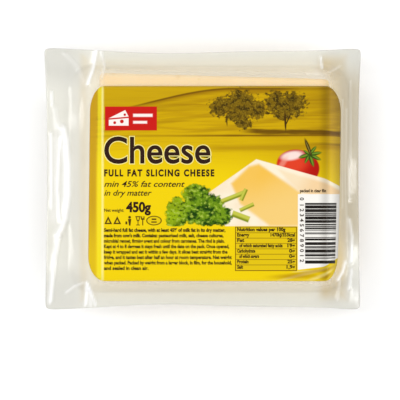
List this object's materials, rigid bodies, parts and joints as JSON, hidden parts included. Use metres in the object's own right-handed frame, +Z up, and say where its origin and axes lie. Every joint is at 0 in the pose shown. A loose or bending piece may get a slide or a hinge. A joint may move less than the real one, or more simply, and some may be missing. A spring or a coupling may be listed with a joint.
{
  "type": "vacuum-packed cheese block",
  "caption": "Rectangular block of semi-hard cheese sealed in a clear formed film pack with a flat film rim and a yellow printed label across the top.",
  "frame": {"origin": "under the middle of the pack's outline, on the surface the pack lies on", "axes": "+X along the pack's length towards the label's right-hand side, +Y towards the top of the label, +Z up out of the label"},
  "size_m": [0.1518, 0.1246, 0.0391],
  "materials": {
    "cheese": "satin",
    "lower_film": "gloss",
    "upper_film": "gloss",
    "label": "gloss"
  },
  "bodies": {
    "root": {"cheese_block": "cheese", "lower_film": "lower_film", "upper_film": "upper_film", "label": "label"}
  },
  "joints": []
}
